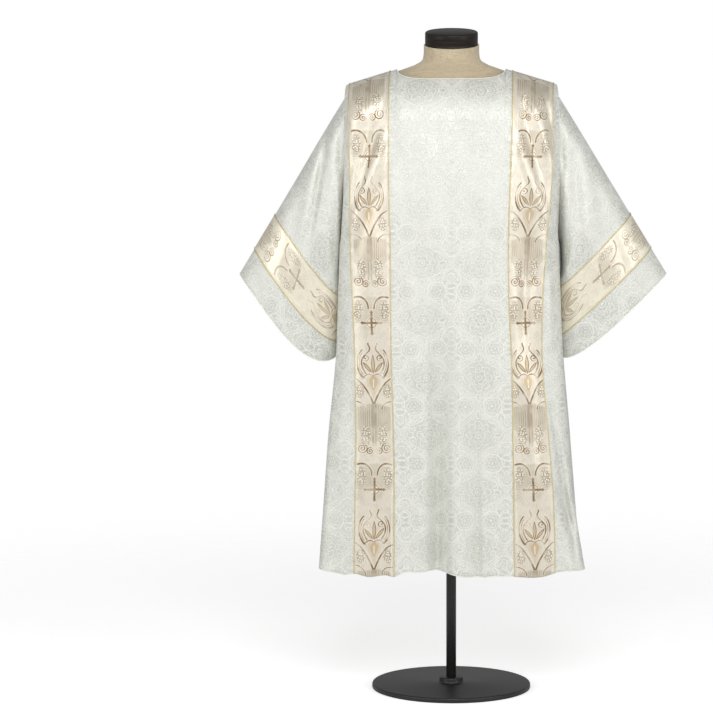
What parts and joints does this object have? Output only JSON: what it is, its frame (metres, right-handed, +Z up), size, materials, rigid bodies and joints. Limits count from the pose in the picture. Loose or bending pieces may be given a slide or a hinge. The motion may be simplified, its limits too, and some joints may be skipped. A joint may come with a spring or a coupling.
{
  "type": "dalmatic on limbless dress form",
  "caption": "Ivory damask dalmatic with boat neck, wide open sleeves and patterned orphrey bands, worn by a limbless dress form on a pole stand.",
  "frame": {"origin": "centre of the bounding box, on the floor under the stand", "axes": "+Z up, the front of the garment faces -Y, +X runs along the shoulders to the viewer's right"},
  "size_m": [1.0632, 0.4, 1.6583],
  "materials": {
    "ivory_damask": "tone on tone scroll damask with a soft sheen",
    "orphrey_brocade": "champagne satin brocade with bronze figures",
    "gold_edging": "narrow woven gold-coloured braid",
    "form_linen": "plain woven natural linen",
    "neck_cap": "black lacquer",
    "stand_metal": "black satin paint"
  },
  "bodies": {
    "root": {"back_panel": "ivory_damask", "edging_back_left_inner": "gold_edging", "edging_back_left_outer": "gold_edging", "edging_back_right_inner": "gold_edging", "edging_back_right_outer": "gold_edging", "edging_front_left_inner": "gold_edging", "edging_front_left_outer": "gold_edging", "edging_front_right_inner": "gold_edging", "edging_front_right_outer": "gold_edging", "edging_sleeve_left_lower": "gold_edging", "edging_sleeve_left_upper": "gold_edging", "edging_sleeve_right_lower": "gold_edging", "edging_sleeve_right_upper": "gold_edging", "form_neck_cap": "neck_cap", "form_torso": "form_linen", "front_panel": "ivory_damask", "orphrey_back_left": "orphrey_brocade", "orphrey_back_right": "orphrey_brocade", "orphrey_front_left": "orphrey_brocade", "orphrey_front_right": "orphrey_brocade", "sleeve_band_left": "orphrey_brocade", "sleeve_band_right": "orphrey_brocade", "sleeve_left": "ivory_damask", "sleeve_right": "ivory_damask", "stand_base": "stand_metal", "stand_pole": "stand_metal"}
  },
  "joints": []
}
